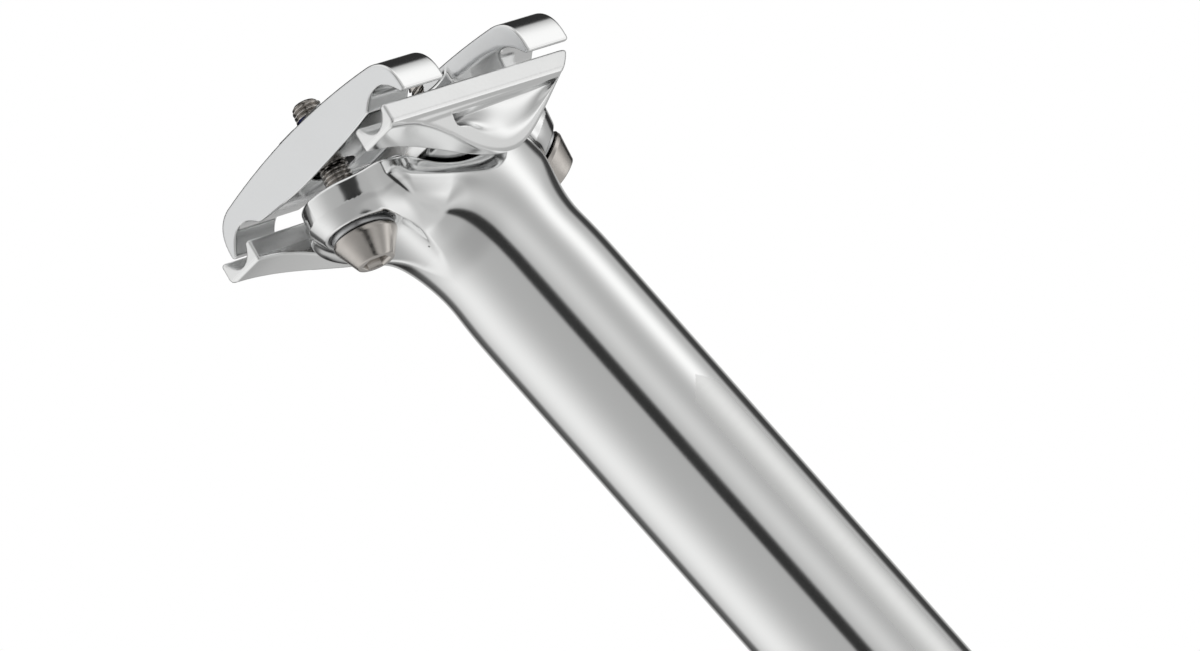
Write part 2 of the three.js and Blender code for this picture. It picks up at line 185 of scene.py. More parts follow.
def surface_net(field, axes):
    """The zero surface of a field on a rectilinear grid, as points and quads."""
    xs, ys, zs = axes
    values = field(xs[:, None, None], ys[None, :, None], zs[None, None, :])
    cell_stride = np.array([(len(ys) - 1) * (len(zs) - 1), len(zs) - 1, 1])
    corners, crossings = [], []
    for a in range(3):
        b, c = (a + 1) % 3, (a + 2) % 3
        low = np.moveaxis(values, a, 0)[:-1]
        high = np.moveaxis(values, a, 0)[1:]
        found = np.argwhere((low < 0) != (high < 0))
        v0, v1 = low[tuple(found.T)], high[tuple(found.T)]
        others = [axis for axis in range(3) if axis != a]
        index = np.empty_like(found)
        index[:, a] = found[:, 0]
        index[:, others[0]] = found[:, 1]
        index[:, others[1]] = found[:, 2]
        point = np.stack([axes[d][index[:, d]] for d in range(3)], axis=1).astype(float)
        gap = axes[a][index[:, a] + 1] - axes[a][index[:, a]]
        point[:, a] += gap * v0 / (v0 - v1)
        quad = []
        for db, dc in ((-1, -1), (0, -1), (0, 0), (-1, 0)):
            cell = index.copy()
            cell[:, b] += db
            cell[:, c] += dc
            quad.append(cell @ cell_stride)
        quad = np.stack(quad, axis=1)
        quad[v0 > 0] = quad[v0 > 0][:, ::-1]
        corners.append(quad)
        crossings.append(np.repeat(point, 4, axis=0))
    ids = np.concatenate([quad.ravel() for quad in corners])
    crossings = np.concatenate(crossings)
    _, where = np.unique(ids, return_inverse=True)
    count = np.bincount(where)
    points = np.stack([np.bincount(where, crossings[:, d]) / count for d in range(3)], axis=1)
    return points, where.reshape(-1, 4)


def gradient(field, points, step=0.03):
    out = np.empty_like(points)
    for d in range(3):
        ahead, behind = points.copy(), points.copy()
        ahead[:, d] += step
        behind[:, d] -= step
        out[:, d] = (field(*ahead.T) - field(*behind.T)) / (2 * step)
    return out


def settle(field, points, reach):
    """Moves points onto the zero surface along the field's slope."""
    slope = gradient(field, points)
    step = -field(*points.T) / np.maximum((slope * slope).sum(1), 0.05)
    return points + np.clip(step, -reach, reach)[:, None] * slope


def relax(points, quads):
    """Each point moves halfway to the middle of its neighbours, which evens the quads."""
    total = np.zeros_like(points)
    count = np.zeros(len(points))
    for i in range(4):
        here, there = quads[:, i], quads[:, (i + 1) % 4]
        for a, b in ((here, there), (there, here)):
            count += np.bincount(a, minlength=len(points))
            for d in range(3):
                total[:, d] += np.bincount(a, points[b, d], len(points))
    return (points + total / count[:, None]) / 2


def sculpt(name, field, axes, turn=0.0, passes=3):
    """A mesh object of the solid, in metres, turned about x from the clamp's frame if asked."""
    points, quads = surface_net(field, axes)
    for _ in range(passes):
        points = settle(field, relax(points, quads), 0.3)
    for _ in range(2):
        points = settle(field, points, 0.1)
    normals = gradient(field, points)
    normals /= np.linalg.norm(normals, axis=1)[:, None]
    rotation = np.array(Matrix.Rotation(-turn, 3, "X"))
    mesh = bpy.data.meshes.new(name)
    mesh.from_pydata((points @ rotation.T * MM).tolist(), [], quads.tolist())
    mesh.shade_smooth()
    mesh.normals_split_custom_set_from_vertices((normals @ rotation.T).tolist())
    return link(name, mesh)


def link(name, mesh):
    piece = bpy.data.objects.new(name, mesh)
    bpy.context.scene.collection.objects.link(piece)
    return piece


def stations(*spans):
    """Grid lines from spans of (start, end, spacing)."""
    lines = [np.arange(start, end, spacing) for start, end, spacing in spans]
    return np.unique(np.round(np.concatenate(lines), 4)).astype(np.float32)


CELL = 0.25


# ---- post -------------------------------------------------------------------------------------

# Half width of the head at a distance behind the front bolt.
front_width = spline((-7, 3.0), (-5, 5.6), (-2.5, 7.0), (0, 7.6), (3, 8.2), (6, 9.9),
                     (9, 12.2), (12, 13.6), (16, HEAD_HALF_WIDTH), (40, HEAD_HALF_WIDTH))
# By height: how far the sides draw in below, and how far the head reaches behind and in front.
head_tuck = spline((HEAD_FOOT, 8.0), (-26, 4.6), (-20, 2.6), (-14, 1.4), (-9, 0.7), (-4, 0.1), (4, 0.0))
rear_reach = spline((HEAD_FOOT, 5.0), (-26, 9.6), (-20, 12.0), (-16, 14.0), (-12, 16.4), (-9, 18.9),
                    (-5, 22.2), (0, 26.5))
front_reach = spline((-38, 5.0), (-30, 9.0), (-25, 11.8), (-21, 14.5), (-17, 18.0), (-13, 21.5),
                     (-8, 25))
# By height: the radius of the head's upright corners.
corner_round = spline((-30, 12.0), (-12, 11.0), (-8, 7.5), (-3, 4.0), (4, 3.0))

# A slight waist where the tube meets the head.
WAIST_Z = -22.0
WAIST_DEPTH = 0.4
WAIST_SPAN = 5.5
# The rear arm's end face slants from the boss out to the head's corner.
ARM_END_SLANT = math.radians(27.8)
ARM_END_SIDE = 5.6
ARM_END_BEHIND = 4.4
# The land between the two ears falls gently to the front.
LAND_DEPTH = 3.1
LAND_SLOPE = 0.2
# Where the key's way in to each bolt head is centred, and how fast it widens going down.
REAR_KEY_WAY = (-22.5, 0.15)
FRONT_KEY_WAY = (22.2, 0.0)


def ear_boss(line, side, y, z):
    """The round boss a bolt passes through, drawn in below to a smaller foot."""
    height = line.height(y, z)
    out = np.hypot(side, line.across(y, z))
    taper = (out - EAR_RADIUS + EAR_TAPER * np.maximum(EAR_FOOT + 3.0 - height, 0)) / 1.1
    return fillet_max(taper, EAR_FOOT - height, 0.5)


def ear_cuts(line, key_way, side, y, z):
    """The bolt hole, the swing room over it, the ball seat and the key's way in underneath."""
    height = line.height(y, z)
    out = np.hypot(side, line.across(y, z))
    climb = np.clip((height - EAR_FOOT) / (EAR_TOP - EAR_FOOT), 0, 1)
    hole = out - EAR_HOLE_MOUTH_RADIUS + (EAR_HOLE_MOUTH_RADIUS - EAR_HOLE_RADIUS) * climb
    above = np.maximum(out - EAR_HOLE_MOUTH_RADIUS - EAR_TAPER * (height - EAR_TOP), EAR_TOP - height)
    seat = np.hypot(out, height) - WASHER_BALL_RADIUS - SEAT_GAP
    way_y, flare = key_way
    way_radius = KEY_WAY_RADIUS + flare * np.clip(-7.5 - z, 0, 8)
    way = np.minimum(np.hypot(side, y - way_y) - way_radius, out - KEY_WAY_RADIUS + 0.1)
    way = fillet_max(way, height - EAR_FOOT, 0.4)
    return np.minimum(np.minimum(hole, above), np.minimum(seat, way))


def post_field(x, y, z):
    side = np.abs(x)
    radius = np.hypot(x, y)
    waist = WAIST_DEPTH * np.exp(-((z - WAIST_Z) / WAIST_SPAN) ** 2)
    tube = fillet_max(radius - TUBE_RADIUS + waist, z - TUBE_TOP, 4.0)
    plan = fillet_max(side - HEAD_HALF_WIDTH, beyond(front_width, -FRONT.across(y, z), side), 2.0)
    arm_end = (side - ARM_END_SIDE) * math.sin(ARM_END_SLANT)
    arm_end = arm_end - (REAR.across(y, z) + ARM_END_BEHIND) * math.cos(ARM_END_SLANT)
    plan = fillet_max(plan, arm_end, 2.2) + head_tuck(z)
    block = fillet_max(plan, beyond(rear_reach, z, -y), corner_round(z))
    block = fillet_max(block, beyond(front_reach, z, y), corner_round(z + 5))
    block = np.maximum(block, HEAD_FOOT - z)
    body = fillet_min(tube, block, 3.0)
    body = fillet_min(body, ear_boss(REAR, side, y, z), 1.6)
    body = fillet_min(body, ear_boss(FRONT, side, y, z), 1.6)
    # Three planes roof the head: one square to each bolt, and the land between them.
    land = (z + LAND_SLOPE * y + LAND_DEPTH) / math.hypot(1, LAND_SLOPE)
    roof = np.minimum(np.minimum(REAR.height(y, z) - EAR_TOP, FRONT.height(y, z) - EAR_TOP), land)
    # The roof's edge is cut wider between the bosses than on them.
    edge = 0.3 + 0.6 * ease(-20.5, -18.5, y) * (1 - ease(8, 12, y))
    body = chamfer_max(body, roof, edge)
    seat = np.hypot(y, z - TILT_AXIS_Z) - SEAT_RADIUS - SEAT_GAP
    body = chamfer_max(body, -seat, 0.3)
    body = fillet_max(body, -ear_cuts(REAR, REAR_KEY_WAY, side, y, z), 0.35)
    body = fillet_max(body, -ear_cuts(FRONT, FRONT_KEY_WAY, side, y, z), 0.35)
    bore = np.hypot(radius, np.maximum(z - BORE_TOP, 0) / BORE_DOME_HEIGHT) - BORE_RADIUS
    body = fillet_max(body, -bore, 0.3)
    return fillet_max(body, TUBE_BOTTOM - z, 0.6)


def build_post():
    axes = (
        stations((-15.2, 15.2, CELL)),
        stations((-33, 31, CELL)),
        stations((TUBE_BOTTOM - 0.8, TUBE_BOTTOM + 1.2, CELL), (TUBE_BOTTOM + 1.5, -50, 6.0),
                 (-50, -30, 2 * CELL), (-30, 7.5, CELL)),
    )
    return sculpt("post_surface", post_field, axes)


# ---- lower cradle -----------------------------------------------------------------------------

CRADLE_REAR = -26.6
CRADLE_FRONT = 16.5
CORE_REAR = -12.0
CORE_FRONT = 10.0
WING_INNER = 17.3

# A wing's outer face: an upright band beside the rail, a small step, then a slanting hull.
BAND_FOOT_N = -3.3
BAND_STEP = 0.55
HULL_SLANT = 1.02
# The pocket in the hull is deepest at its rear end.
POCKET_ROOF_N = -4.1
POCKET_DEEPEST_F = -9.5
POCKET_DEPTH = 1.3
POCKET_EXTRA_DEPTH = 2.5
POCKET_FADE_LENGTH = 4.5
POCKET_END_LENGTH = 3.6

# Side view of a wing's underside: a thin rear finger, then a deep round-bellied leaf.
belly = spline((-27, -3.75), (-22.2, -4.05), (-18, -5.0), (-13, -6.85), (-9.7, -8.3), (-6, -9.7),
               (0, -10.9), (3.6, -10.5), (6.4, -9.0), (9.5, -6.2), (12.7, -3.0), (16, 0.3))
# Lower edge of the teardrop pocket in a wing's outer face.
pocket_rim = spline((-13.3, -3.4), (-12.5, -4.9), (-10, -6.2), (-6.5, -7.3), (-3.5, -8.15), (-0.7, -8.65),
                    (2.2, -8.4), (5, -7.55), (7.7, -6.1), (10.6, -4.3), (12, -3.3))


def hull(n):
    """How far out a wing's outer face stands at a height."""
    step = BAND_STEP * ease(BAND_FOOT_N + 0.7, BAND_FOOT_N - 0.5, n)
    return WING_OUTER - step - HULL_SLANT * np.maximum(BAND_FOOT_N - n, 0)


def pocket(side, f, n):
    """The pocket: a steep roof over a scoop that runs out at the rim."""
    roof = POCKET_ROOF_N + 0.02 * f
    rise = (n - pocket_rim(f)) / np.maximum(roof - pocket_rim(f), 0.4)
    rise = np.where(rise > 0, np.sin(np.clip(rise, 0, 1) * math.pi / 2), 1.5 * rise)
    along = f - POCKET_DEEPEST_F
    depth = POCKET_DEPTH + POCKET_EXTRA_DEPTH * np.exp(-np.maximum(along, 0) / POCKET_FADE_LENGTH)
    rear_end = np.sqrt(np.clip(1 - (np.minimum(along, 0) / POCKET_END_LENGTH) ** 2, 0.0, 1))
    return fillet_max((hull(n) - depth * rear_end * rise - side) / 1.3, n - roof, 0.25)


def rail_groove(side, n):
    """The round groove a rail lies in, its middle a touch above the rail's."""
    return np.hypot(side - RAIL_X, n - RAIL_N - 0.2) - RAIL_RADIUS


def cradle_field(x, f, n):
    side = np.abs(x)
    profile = fillet_max(-beyond(belly, f, n), n - 0.1, 0.5)
    profile = fillet_max(profile, CRADLE_REAR - f, 0.3)
    profile = fillet_max(profile, f - CRADLE_FRONT, 2.6)
    wing = fillet_max(fillet_max(profile, beyond(hull, n, side), 0.45), WING_INNER - side, 0.5)
    wing = fillet_max(wing, -pocket(side, f, n), 0.3)
    axis_f = -TILT_AXIS_Z * math.sin(CLAMP_TILT)
    axis_n = TILT_AXIS_Z * math.cos(CLAMP_TILT)
    core = fillet_max(np.hypot(f - axis_f, n - axis_n) - SEAT_RADIUS, n, 0.6)
    core = fillet_max(fillet_max(core, CORE_REAR - f, 0.8), f - CORE_FRONT, 0.8)
    core = np.maximum(core, side - WING_INNER - 1)
    body = fillet_min(wing, core, 0.8)
    return fillet_max(body, -rail_groove(side, n), 0.35)


def build_cradle():
    axes = (
        stations((-27.4, 27.4, CELL)),
        stations((CRADLE_REAR - 0.8, CRADLE_FRONT + 0.8, CELL)),
        stations((-14.2, 1.4, CELL)),
    )
    return sculpt("lower_cradle_surface", cradle_field, axes, CLAMP_TILT)


# ---- upper clamp ------------------------------------------------------------------------------

# Each bar's rear face, front face and top.
BARS = {"rear": (-22.4, -13.0, 9.6), "front": (5.9, 15.5, 10.0)}
HOOK_X = 27.9
TOP_CROWN = 0.003
FLOOR_N = 1.3
FLOOR_CROWN = 0.0035
FLOOR_END_N = 0.95
ARCH_SLANT = 1.1
WEB_MIDDLE_X = 8.2
WEB_HALF_WIDTH = 1.1
WEB_FLOOR_N = 2.3
WEB_CREST_N = 5.8
WEB_CREST_RISE = 2.8
# Room for the bolts: their lean either way in the clamp, air round them, and a wider way in below.
REAR_BOLT_SWING = math.radians(10)
FRONT_BOLT_SWING = math.radians(13)
BOLT_ROOM = 0.5
BOLT_MOUTH_RADIUS = 3.7
BOLT_MOUTH_TOP = 3.2
THIN_WALL = 0.35

# Lower edge of the arch in the front bar's rear face, across the bar.
front_arch = spline((0, 7.0), (8.6, 6.8), (12.2, 6.45), (15.5, 6.2), (18.6, 5.8), (21.4, 5.1),
                    (23.2, 4.3), (24.7, 3.0), (26, 1.7), (28, -0.5))


def hook_mouth(side, n):
    """The space under a hook: the rail's own round, opened out by a wider and shallower one."""
    rail = np.hypot(side - RAIL_X, n - RAIL_N) - RAIL_RADIUS
    wide = np.hypot(side - RAIL_X + 0.3, n + 2.1) - 6.0
    return fillet_min(rail, wide, 1.0)


def bar(side, f, n, rear, front, top):
    """One bar across the clamp, with a hook at each end."""
    roof = n - (top - TOP_CROWN * side ** 2)
    section = fillet_max(roof, side - HOOK_X, 4.6)
    floor = FLOOR_N + FLOOR_CROWN * np.minimum(side, WING_INNER) ** 2
    floor = floor + (FLOOR_END_N - floor) * ease(17.5, 20, side)
    section = fillet_max(section, floor - n, 0.4)
    section = fillet_max(section, -hook_mouth(side, n), 0.3)
    section = fillet_max(section, rear - f, 0.4)
    return fillet_max(section, f - front, 0.6)


def nut_space(line, side, f, n):
    """The open trough for a half-round nut and the fan-shaped way through for its leaning bolt."""
    nut_f = line.nut.y * math.cos(CLAMP_TILT) - line.nut.z * math.sin(CLAMP_TILT)
    nut_n = line.nut.y * math.sin(CLAMP_TILT) + line.nut.z * math.cos(CLAMP_TILT)
    df, dn = f - nut_f, n - nut_n
    trough = np.where(dn < 0, np.hypot(df, dn), np.abs(df)) - NUT_RADIUS - SEAT_GAP
    trough = np.maximum(trough, side - NUT_HALF_LENGTH - SEAT_GAP)
    lean = math.atan2(line.up.y, line.up.z) - CLAMP_TILT
    swing = REAR_BOLT_SWING if line is REAR else FRONT_BOLT_SWING
    angle = np.arctan2(df * np.sign(dn), np.abs(dn))
    turned = angle - np.clip(angle, lean - swing, lean + swing)
    off_line = np.hypot(df, dn) * np.sin(np.clip(turned, -math.pi / 2, math.pi / 2))
    way = np.hypot(side, off_line) - BOLT_RADIUS - BOLT_ROOM
    way = np.maximum(way, BARS["rear"][0] + THIN_WALL - f)
    mouth_f = nut_f - (nut_n - BOLT_MOUTH_TOP) * math.tan(lean)
    mouth = np.maximum(np.hypot(side, f - mouth_f) - BOLT_MOUTH_RADIUS, n - BOLT_MOUTH_TOP)
    return np.minimum(np.minimum(trough, way), mouth)


def clamp_field(x, f, n):
    side = np.abs(x)
    rear_bar = bar(side, f, n, *BARS["rear"])
    front_bar = bar(side, f, n, *BARS["front"])
    start = BARS["front"][0]
    arch_roof = front_arch(side) - ARCH_SLANT * np.maximum(f - start, 0)
    arch = np.maximum(arch_roof, 2.4 - ease(17, 19, side) * 4)
    front_bar = fillet_max(front_bar, (arch - n) / 1.4, 0.4)
    middle = (BARS["rear"][1] + start) / 2
    span = (start - BARS["rear"][1]) / 2
    crest = WEB_CREST_N + WEB_CREST_RISE * ((f - middle) / span) ** 2
    web = fillet_max((n - crest) / 1.2, WEB_FLOOR_N - n, 0.4)
    web = fillet_max(web, np.abs(side - WEB_MIDDLE_X) - WEB_HALF_WIDTH, 0.5)
    web = np.maximum(web, np.abs(f - middle) - span - 3)
    body = fillet_min(fillet_min(rear_bar, web, 0.8), fillet_min(front_bar, web, 0.8), 0.1)
    for line in (REAR, FRONT):
        body = fillet_max(body, -nut_space(line, side, f, n), 0.12)
    return body


def build_upper_clamp():
    axes = (
        stations((-28.7, 28.7, CELL)),
        stations((-23.2, 16.3, CELL)),
        stations((0.2, 11.4, CELL)),
    )
    return sculpt("upper_clamp_surface", clamp_field, axes, CLAMP_TILT)


# ---- bolts, washers and nuts ------------------------------------------------------------------

AROUND = 72
CONE_TIP_HEIGHT = -1.7
CONE_TOP_HEIGHT = 3.3
CONE_RADIUS = 5.5
CONE_TIP_RADIUS = 3.3
SOCKET_FLATS = 4.0
SOCKET_DEPTH = 2.6
BOLT_END = 28.1
THREAD_START = 11.5
PATCH_START = 19.8
PATCH_END = 25.3
WASHER_RADIUS = 5.3
WASHER_FOOT = 3.5
WASHER_EDGE = 0.15
NUT_CELL = 0.25
TURNS = np.arange(AROUND) * 2 * math.pi / AROUND


def ring_stack(name, rings, closed_ends=True):
    """A lathe-like mesh from rings of (radius, height), capped, or joined last ring to first."""
    points, faces = [], []
    for radius, height in rings:
        radius = np.broadcast_to(radius, AROUND)
        height = np.broadcast_to(height, AROUND)
        points.append(np.stack([radius * np.cos(TURNS), radius * np.sin(TURNS), height], axis=1))
    points = np.concatenate(points)
    count = len(rings)
    last = count - 1 if closed_ends else count
    for i in range(last):
        low, high = i * AROUND, (i + 1) % count * AROUND
        for j in range(AROUND):
            k = (j + 1) % AROUND
            faces.append((low + j, low + k, high + k, high + j))
    if closed_ends:
        faces.append(tuple(range(AROUND))[::-1])
        faces.append(tuple(range((count - 1) * AROUND, count * AROUND)))
    mesh = bpy.data.meshes.new(name)
    mesh.from_pydata((points * MM).tolist(), [], faces)
    mesh.shade_smooth()
    mesh.set_sharp_from_angle(angle=math.radians(40))
    return link(name, mesh)


def stand_up(piece, line, origin):
    """Sets a piece drawn along z onto a bolt line, keeping its place in its mesh."""
    turn = Vector((0, 0, 1)).rotation_difference(line.up).to_matrix().to_4x4()
    piece.data.transform(Matrix.Translation(origin * MM) @ turn)
    return piece


def thread_rings(start, end, outer=BOLT_RADIUS, depth=THREAD_DEPTH):
    """Rings of a right-hand thread that runs out softly at its start and is chamfered at its end."""
    rings = []
    for height in np.arange(start, end + 0.001, THREAD_PITCH / 10):
        phase = (height / THREAD_PITCH - TURNS / (2 * math.pi)) % 1.0
        groove = np.clip(1.25 - np.abs(phase - 0.5) * 3.2, 0, 1)
        runout = ease(start, start + THREAD_PITCH, height)
        chamfer = np.maximum(height - (end - 0.7), 0)
        rings.append((np.minimum(outer - depth * groove * runout, outer - chamfer), height))
    return rings


def build_bolt(end, line):
    """A bolt with a conical head, drawn from the bottom of its hex socket round to its thread end."""
    hexagon = SOCKET_FLATS / 2 / np.cos(TURNS % (math.pi / 3) - math.pi / 6)
    tip, top = CONE_TIP_HEIGHT, CONE_TOP_HEIGHT
    rings = [
        (0.01, tip + SOCKET_DEPTH + 0.7),
        (1.6, tip + SOCKET_DEPTH),
        (hexagon - 0.02, tip + SOCKET_DEPTH),
        (hexagon, tip + SOCKET_DEPTH - 0.05),
        (hexagon, tip + 0.35),
        (hexagon + 0.25, tip),
        (CONE_TIP_RADIUS - 0.28, tip),
        (CONE_TIP_RADIUS - 0.08, tip + 0.07),
        (CONE_TIP_RADIUS + 0.03, tip + 0.25),
        (CONE_RADIUS - 0.06, top - 0.95),
        (CONE_RADIUS, top - 0.8),
        (CONE_RADIUS, top - 0.2),
        (CONE_RADIUS - 0.2, top),
        (BOLT_RADIUS + 0.3, top),
        (BOLT_RADIUS + 0.08, top + 0.08),
        (BOLT_RADIUS, top + 0.3),
        (BOLT_RADIUS, THREAD_START - 0.01),
    ]
    rings += thread_rings(THREAD_START, BOLT_END)
    rings.append((0.01, BOLT_END + 0.02))
    return stand_up(ring_stack(end + "_bolt_turned", rings), line, line.ball)


def build_thread_patch(line):
    """Blue nylon locking compound laid into the rear bolt's thread, just where it leaves the nut."""
    core = BOLT_RADIUS - THREAD_DEPTH - 0.1
    rings = thread_rings(PATCH_START, PATCH_END, BOLT_RADIUS + 0.06, THREAD_DEPTH * 0.55)
    rings += [(core, PATCH_END), (core, PATCH_START)]
    patch = ring_stack("rear_bolt_thread_patch", rings, closed_ends=False)
    return stand_up(patch, line, line.ball)


def build_washer(end, line):
    """A washer, flat towards the bolt's head and a ball towards the ear."""
    bore = BOLT_RADIUS + 0.3
    rings = [
        (bore, WASHER_FOOT + WASHER_EDGE),
        (bore + WASHER_EDGE, WASHER_FOOT),
        (WASHER_RADIUS - WASHER_EDGE, WASHER_FOOT),
        (WASHER_RADIUS, WASHER_FOOT + WASHER_EDGE),
    ]
    outer = math.asin(WASHER_RADIUS / WASHER_BALL_RADIUS)
    inner = math.asin((bore + 0.1) / WASHER_BALL_RADIUS)
    for lean in np.linspace(outer, inner, 13):
        rings.append((WASHER_BALL_RADIUS * math.sin(lean), WASHER_BALL_RADIUS * math.cos(lean)))
    return stand_up(ring_stack(end + "_washer_turned", rings, closed_ends=False), line, line.ball)


def nut_field(x, y, z):
    """A half-round nut lying along x, its bolt hole along z and opening out at the flat top."""
    barrel = np.hypot(y, z) - NUT_RADIUS
    body = fillet_max(fillet_max(barrel, z - NUT_CROWN, 0.35), np.abs(x) - NUT_HALF_LENGTH, 0.35)
    hole = np.hypot(x, y) - BOLT_RADIUS - NUT_HOLE_GAP
    mouth = hole + NUT_CROWN - 0.5 - z
    return fillet_max(body, -np.minimum(hole, mouth), 0.15)


def build_nut(end, line):
    axes = (
        stations((-7.2, 7.2, NUT_CELL)),
        stations((-4.6, 4.6, NUT_CELL)),
        stations((-4.6, 3.2, NUT_CELL)),
    )
    return stand_up(sculpt(end + "_nut_machined", nut_field, axes), line, line.nut)


# ---- materials --------------------------------------------------------------------------------

class Nodes:
    """A small writer for shader node trees."""

    def __init__(self, tree):
        self.tree = tree
        tree.nodes.clear()

    def add(self, kind, inputs=(), **settings):
        node = self.tree.nodes.new(kind)
        for key, value in settings.items():
            setattr(node, key, value)
        for key, value in dict(inputs).items():
            self.put(node, key, value)
        return node

    def put(self, node, key, value):
        if isinstance(value, bpy.types.NodeSocket):
            self.tree.links.new(value, node.inputs[key])
        else:
            node.inputs[key].default_value = value

    def math(self, operation, a, b=0.0):
        return self.add("ShaderNodeMath", {0: a, 1: b}, operation=operation).outputs[0]

    def dot(self, a, b):
        return self.add("ShaderNodeVectorMath", {0: a, 1: b}, operation="DOT_PRODUCT").outputs["Value"]

    def hump(self, value, half_width, hardness):
        """1 at the middle, falling to 0 past the half width, the more steeply the harder it is."""
        gap = self.math("DIVIDE", self.math("ABSOLUTE", value), half_width)
        return self.math("EXPONENT", self.math("MULTIPLY", self.math("POWER", gap, hardness), -1.0))

    def mix(self, factor, a, b):
        node = self.add("ShaderNodeMix", data_type="RGBA")
        for key, value in (("Factor_Float", factor), ("A_Color", a), ("B_Color", b)):
            socket = next(s for s in node.inputs if s.identifier == key)
            if isinstance(value, bpy.types.NodeSocket):
                self.tree.links.new(value, socket)
            else:
                socket.default_value = value
        return next(s for s in node.outputs if s.identifier == "Result_Color")

    def step(self, value, low, high):
        """Eases from 0 to 1 between two values; a high below its low makes a falling step."""
        node = self.add("ShaderNodeMapRange", {"Value": value, "From Min": low, "From Max": high},
                        interpolation_type="SMOOTHSTEP")
        return node.outputs[0]

    def noise(self, vector, scale, detail=3.0):
        node = self.add("ShaderNodeTexNoise", {"Vector": vector, "Scale": scale, "Detail": detail})
        return node.outputs["Fac"]

    def stretched(self, vector, x, y, z):
        node = self.add("ShaderNodeMapping", {"Vector": vector, "Scale": (x, y, z)})
        return node.outputs[0]

    def bump(self, height, distance, strength=1.0):
        inputs = {"Height": height, "Distance": distance, "Strength": strength}
        return self.add("ShaderNodeBump", inputs).outputs[0]


def new_material(name):
    material = bpy.data.materials.new(name)
    material.use_nodes = True
    return material, Nodes(material.node_tree)


ALUMINIUM = (0.90, 0.905, 0.905, 1)
ALUMINIUM_SATIN = (0.84, 0.85, 0.86, 1)
ALUMINIUM_ETCHED = (0.86, 0.865, 0.86, 1)
# Painted shade in corners and crevices: a near-black colour, how far the ambient occlusion looks, and how
# much of the colour is mixed in.
PAINTED_SHADE_COLOUR = (0.02, 0.02, 0.022, 1)
PAINTED_SHADE_REACH = 2.5 * MM
PAINTED_SHADE_SHARE = 0.7


def shade(nodes, colour):
    """Painted shade: the metal's colour is mixed towards near black down in the corners, where ambient
    occlusion finds nearby surfaces, so metal looks darker there.
    """
    corners = nodes.add("ShaderNodeAmbientOcclusion", {"Distance": PAINTED_SHADE_REACH}, samples=6)
    openness = nodes.step(corners.outputs["AO"], 0.15, 0.85)
    return nodes.mix(openness, nodes.mix(PAINTED_SHADE_SHARE, colour, PAINTED_SHADE_COLOUR), colour)


def finish(nodes, inputs):
    surface = nodes.add("ShaderNodeBsdfPrincipled", inputs)
    nodes.add("ShaderNodeOutputMaterial", {"Surface": surface.outputs[0]})


def metal(nodes, colour, roughness, normal):
    finish(nodes, {"Base Color": shade(nodes, colour), "Metallic": 1.0, "Roughness": roughness,
                   "Normal": normal})


# The plain etched panel down the right side of the tube.
PANEL_HALF_TURN = math.radians(15.6)
PANEL_TOP = -57.5 * MM
PANEL_TOP_SLANT = 12 * MM


def post_aluminium():
    """Mirror polish drawn round the tube, with a soft haze and one etched satin panel."""
    material, nodes = new_material("polished_aluminium_post")
    place = nodes.add("ShaderNodeTexCoord").outputs["Object"]
    x, y, z = nodes.add("ShaderNodeSeparateXYZ", {0: place}).outputs
    grain = nodes.noise(nodes.stretched(place, 260, 260, 2600), 1.0, 2.0)
    haze = nodes.noise(place, 90.0, 4.0)
    turn = nodes.math("ARCTAN2", y, x)
    aside = nodes.math("ABSOLUTE", turn)
    near = nodes.math("LESS_THAN", aside, PANEL_HALF_TURN)
    slant = nodes.math("ADD", z, nodes.math("MULTIPLY", aside, PANEL_TOP_SLANT))
    panel = nodes.math("MULTIPLY", near, nodes.math("LESS_THAN", slant, PANEL_TOP))
    polished = nodes.math("ADD", 0.085, nodes.math("MULTIPLY", haze, 0.06))
    etched = nodes.math("ADD", 0.30, nodes.math("MULTIPLY", grain, 0.08))
    rougher = nodes.math("SUBTRACT", etched, polished)
    rough = nodes.math("ADD", polished, nodes.math("MULTIPLY", panel, rougher))
    colour = nodes.mix(panel, ALUMINIUM, ALUMINIUM_ETCHED)
    metal(nodes, colour, rough, nodes.bump(grain, 0.0035 * MM))
    return material


def cradle_aluminium():
    """Polished forging with a dull, stippled lip band round the rail grooves."""
    material, nodes = new_material("polished_aluminium_cradle")
    place = nodes.add("ShaderNodeTexCoord").outputs["Object"]
    haze = nodes.noise(place, 140.0, 4.0)
    stipple = nodes.noise(place, 1400.0, 3.0)
    rolled = nodes.add("ShaderNodeVectorRotate", {"Vector": place, "Angle": CLAMP_TILT},
                       rotation_type="X_AXIS").outputs[0]
    height = nodes.add("ShaderNodeSeparateXYZ", {0: rolled}).outputs["Z"]
    band = nodes.step(height, (BAND_FOOT_N - 0.3) * MM, (BAND_FOOT_N + 0.7) * MM)
    rough = nodes.math("ADD", nodes.math("ADD", 0.11, nodes.math("MULTIPLY", haze, 0.07)),
                       nodes.math("MULTIPLY", band, 0.20))
    normal = nodes.bump(nodes.math("MULTIPLY", stipple, band), 0.06 * MM, 0.6)
    metal(nodes, ALUMINIUM, rough, normal)
    return material


def clamp_aluminium():
    """Flat ends left satin from the saw and blast, tops and hooks polished."""
    material, nodes = new_material("satin_aluminium_clamp")
    source = nodes.add("ShaderNodeTexCoord")
    place = source.outputs["Object"]
    forward = (0, math.cos(CLAMP_TILT), -math.sin(CLAMP_TILT))
    facing = nodes.dot(source.outputs["Normal"], forward)
    flat = nodes.step(nodes.math("ABSOLUTE", facing), 0.80, 0.97)
    haze = nodes.noise(place, 120.0, 4.0)
    blast = nodes.noise(place, 2600.0, 2.0)
    rough = nodes.math("ADD", nodes.math("ADD", 0.10, nodes.math("MULTIPLY", haze, 0.06)),
                       nodes.math("MULTIPLY", flat, 0.24))
    normal = nodes.bump(nodes.math("MULTIPLY", blast, flat), 0.02 * MM, 0.5)
    metal(nodes, nodes.mix(flat, ALUMINIUM, ALUMINIUM_SATIN), rough, normal)
    return material


